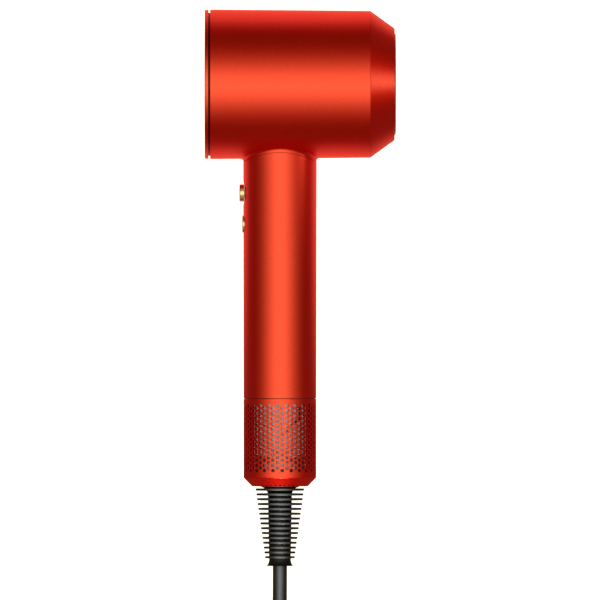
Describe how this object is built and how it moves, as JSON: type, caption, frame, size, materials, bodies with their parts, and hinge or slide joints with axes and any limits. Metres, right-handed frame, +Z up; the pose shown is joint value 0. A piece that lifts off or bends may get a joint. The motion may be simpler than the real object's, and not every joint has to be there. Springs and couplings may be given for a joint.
{
  "type": "hair dryer",
  "caption": "Hair dryer with an open tubular head, round handle holding its fan motor, slide-off filter cage, ribbed strain relief, coiled mains lead and plug.",
  "frame": {"origin": "on the surface that the dryer lies on, under the middle of the dryer's own box (the lead and plug left out)", "axes": "+X along the head's bore towards the nose, +Y along the dryer from the lead's end towards the head, +Z up from the surface; the handle dips about 5.7 degrees towards its filter end"},
  "size_m": [0.1328, 0.4424, 0.0767],
  "materials": {
    "body_paint": "satin metallic orange-red coat on moulded nylon",
    "dark_nickel": "polished dark nickel",
    "gold_brass": "polished, lacquered",
    "black_rubber": "matt moulded",
    "cord_sheath": "semi-matt extruded",
    "steel": "bright",
    "filter_wire": "woven fine wire",
    "black_plastic": "fine moulded texture",
    "grey_plastic": "moulded",
    "clear_plastic": "polished light guide",
    "circuit_board": "solder mask",
    "copper": "enamelled copper wire",
    "mica": "laminated mica sheet",
    "magnet": "nickel-plated magnet",
    "foam": "open-cell foam",
    "tie_fabric": "woven strap",
    "wire_insulation": "silicone"
  },
  "bodies": {
    "dryer": {"barrel_shell": "body_paint", "rear_cap": "body_paint", "rear_seal": "black_rubber", "bore_tube": "body_paint", "nozzle_ring": "dark_nickel", "magnet_carrier": "black_plastic", "attachment_magnets": "magnet", "heater_coils": "steel", "heater_spacers": "mica", "heater_inner_former": "mica", "heater_outer_former": "mica", "heater_leads": "wire_insulation", "thermal_fuse": "grey_plastic", "outlet_thermistor": "grey_plastic", "ioniser_module": "black_plastic", "ioniser_needle": "steel", "control_board": "circuit_board", "board_components": "black_plastic", "board_screws": "steel", "rear_switches": "black_plastic", "status_lights": "clear_plastic", "light_guides": "clear_plastic", "handle_tube": "body_paint", "air_duct": "grey_plastic", "switch_board": "circuit_board", "power_switch": "black_plastic", "cold_shot_switch": "black_plastic", "motor_housing": "grey_plastic", "guide_vanes": "grey_plastic", "motor_bearings": "steel", "bearing_bridge": "steel", "motor_board": "circuit_board", "stator_core": "steel", "stator_windings": "copper", "motor_mount_lower": "black_rubber", "motor_mount_upper": "black_rubber", "inlet_silencer": "foam", "supply_wires": "wire_insulation", "filter_frame": "black_plastic", "filter_mesh": "filter_wire", "handle_base": "black_plastic", "case_screws": "steel", "cord_clamp": "black_plastic", "sheath_end": "cord_sheath", "strain_relief": "black_rubber", "cord_lead": "cord_sheath", "cord_tail": "cord_sheath", "cord_coil": "cord_sheath", "coil_tie": "tie_fabric", "plug_body": "black_rubber", "plug_pins": "steel"},
    "power_slider": {"power_slider": "gold_brass", "slider_carrier": "black_plastic"},
    "cold_shot_button": {"cold_shot_button": "gold_brass"},
    "airflow_button": {"airflow_button": "gold_brass"},
    "heat_button": {"heat_button": "gold_brass"},
    "rotor": {"impeller": "steel", "motor_shaft": "steel", "rotor_magnet": "magnet"},
    "filter_cage": {"filter_cage": "body_paint"}
  },
  "joints": [
    {"name": "power_slide", "type": "slide", "parent": "dryer", "child": "power_slider", "axis": [0, 0.9952, 0.0984], "range_m": [0, 0.0017]},
    {"name": "cold_shot_press", "type": "slide", "parent": "dryer", "child": "cold_shot_button", "axis": [1, 0, 0], "range_m": [0, 0.0007], "stiffness_N_per_m": 800, "springref_m": -0.0003},
    {"name": "airflow_press", "type": "slide", "parent": "dryer", "child": "airflow_button", "axis": [1, 0, 0], "range_m": [0, 0.0006], "stiffness_N_per_m": 800, "springref_m": -0.0003},
    {"name": "heat_press", "type": "slide", "parent": "dryer", "child": "heat_button", "axis": [1, 0, 0], "range_m": [0, 0.0006], "stiffness_N_per_m": 800, "springref_m": -0.0003},
    {"name": "fan_spin", "type": "hinge", "parent": "dryer", "child": "rotor", "pos_m": [-0.01045, -0.04023, 0.02409], "axis": [0, 0.9952, 0.0984], "continuous": true},
    {"name": "cage_slide", "type": "slide", "parent": "dryer", "child": "filter_cage", "axis": [0, -0.9952, -0.0984], "range_m": [0, 0.046]}
  ]
}
